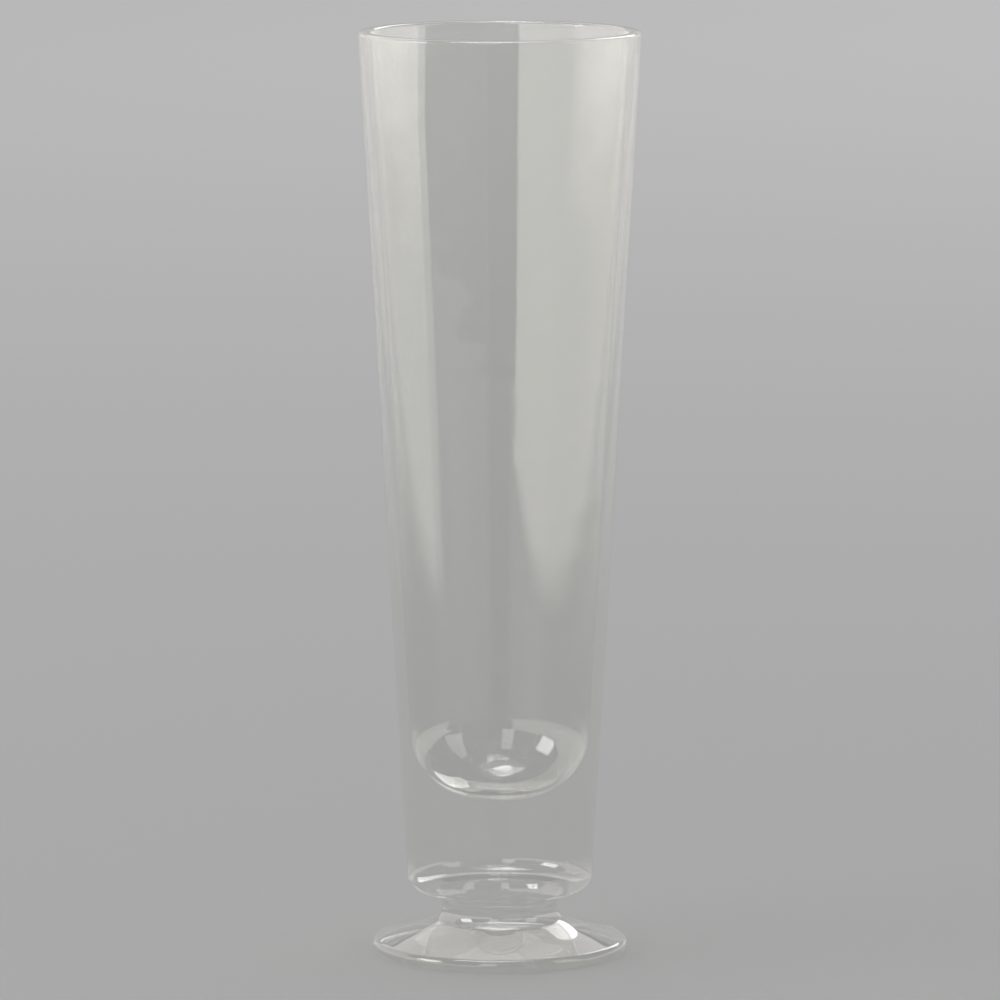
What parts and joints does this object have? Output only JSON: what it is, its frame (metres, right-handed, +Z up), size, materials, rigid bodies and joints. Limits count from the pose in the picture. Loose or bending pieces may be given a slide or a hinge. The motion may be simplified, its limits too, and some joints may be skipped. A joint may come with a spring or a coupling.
{
  "type": "sling glass",
  "caption": "Tall tapered drinking glass with a heavy solid base, a short waisted stem and a round foot, in clear glass with a fire-polished rim.",
  "frame": {"origin": "middle of the foot, on the surface that the glass stands on", "axes": "+Z up along the glass's axis, towards the rim; X and Y are alike, because the glass is round"},
  "size_m": [0.0668, 0.0668, 0.22],
  "materials": {
    "clear_glass": "polished, faint warm green tint"
  },
  "bodies": {
    "root": {"bowl": "clear_glass", "stem": "clear_glass", "foot": "clear_glass"}
  },
  "joints": []
}
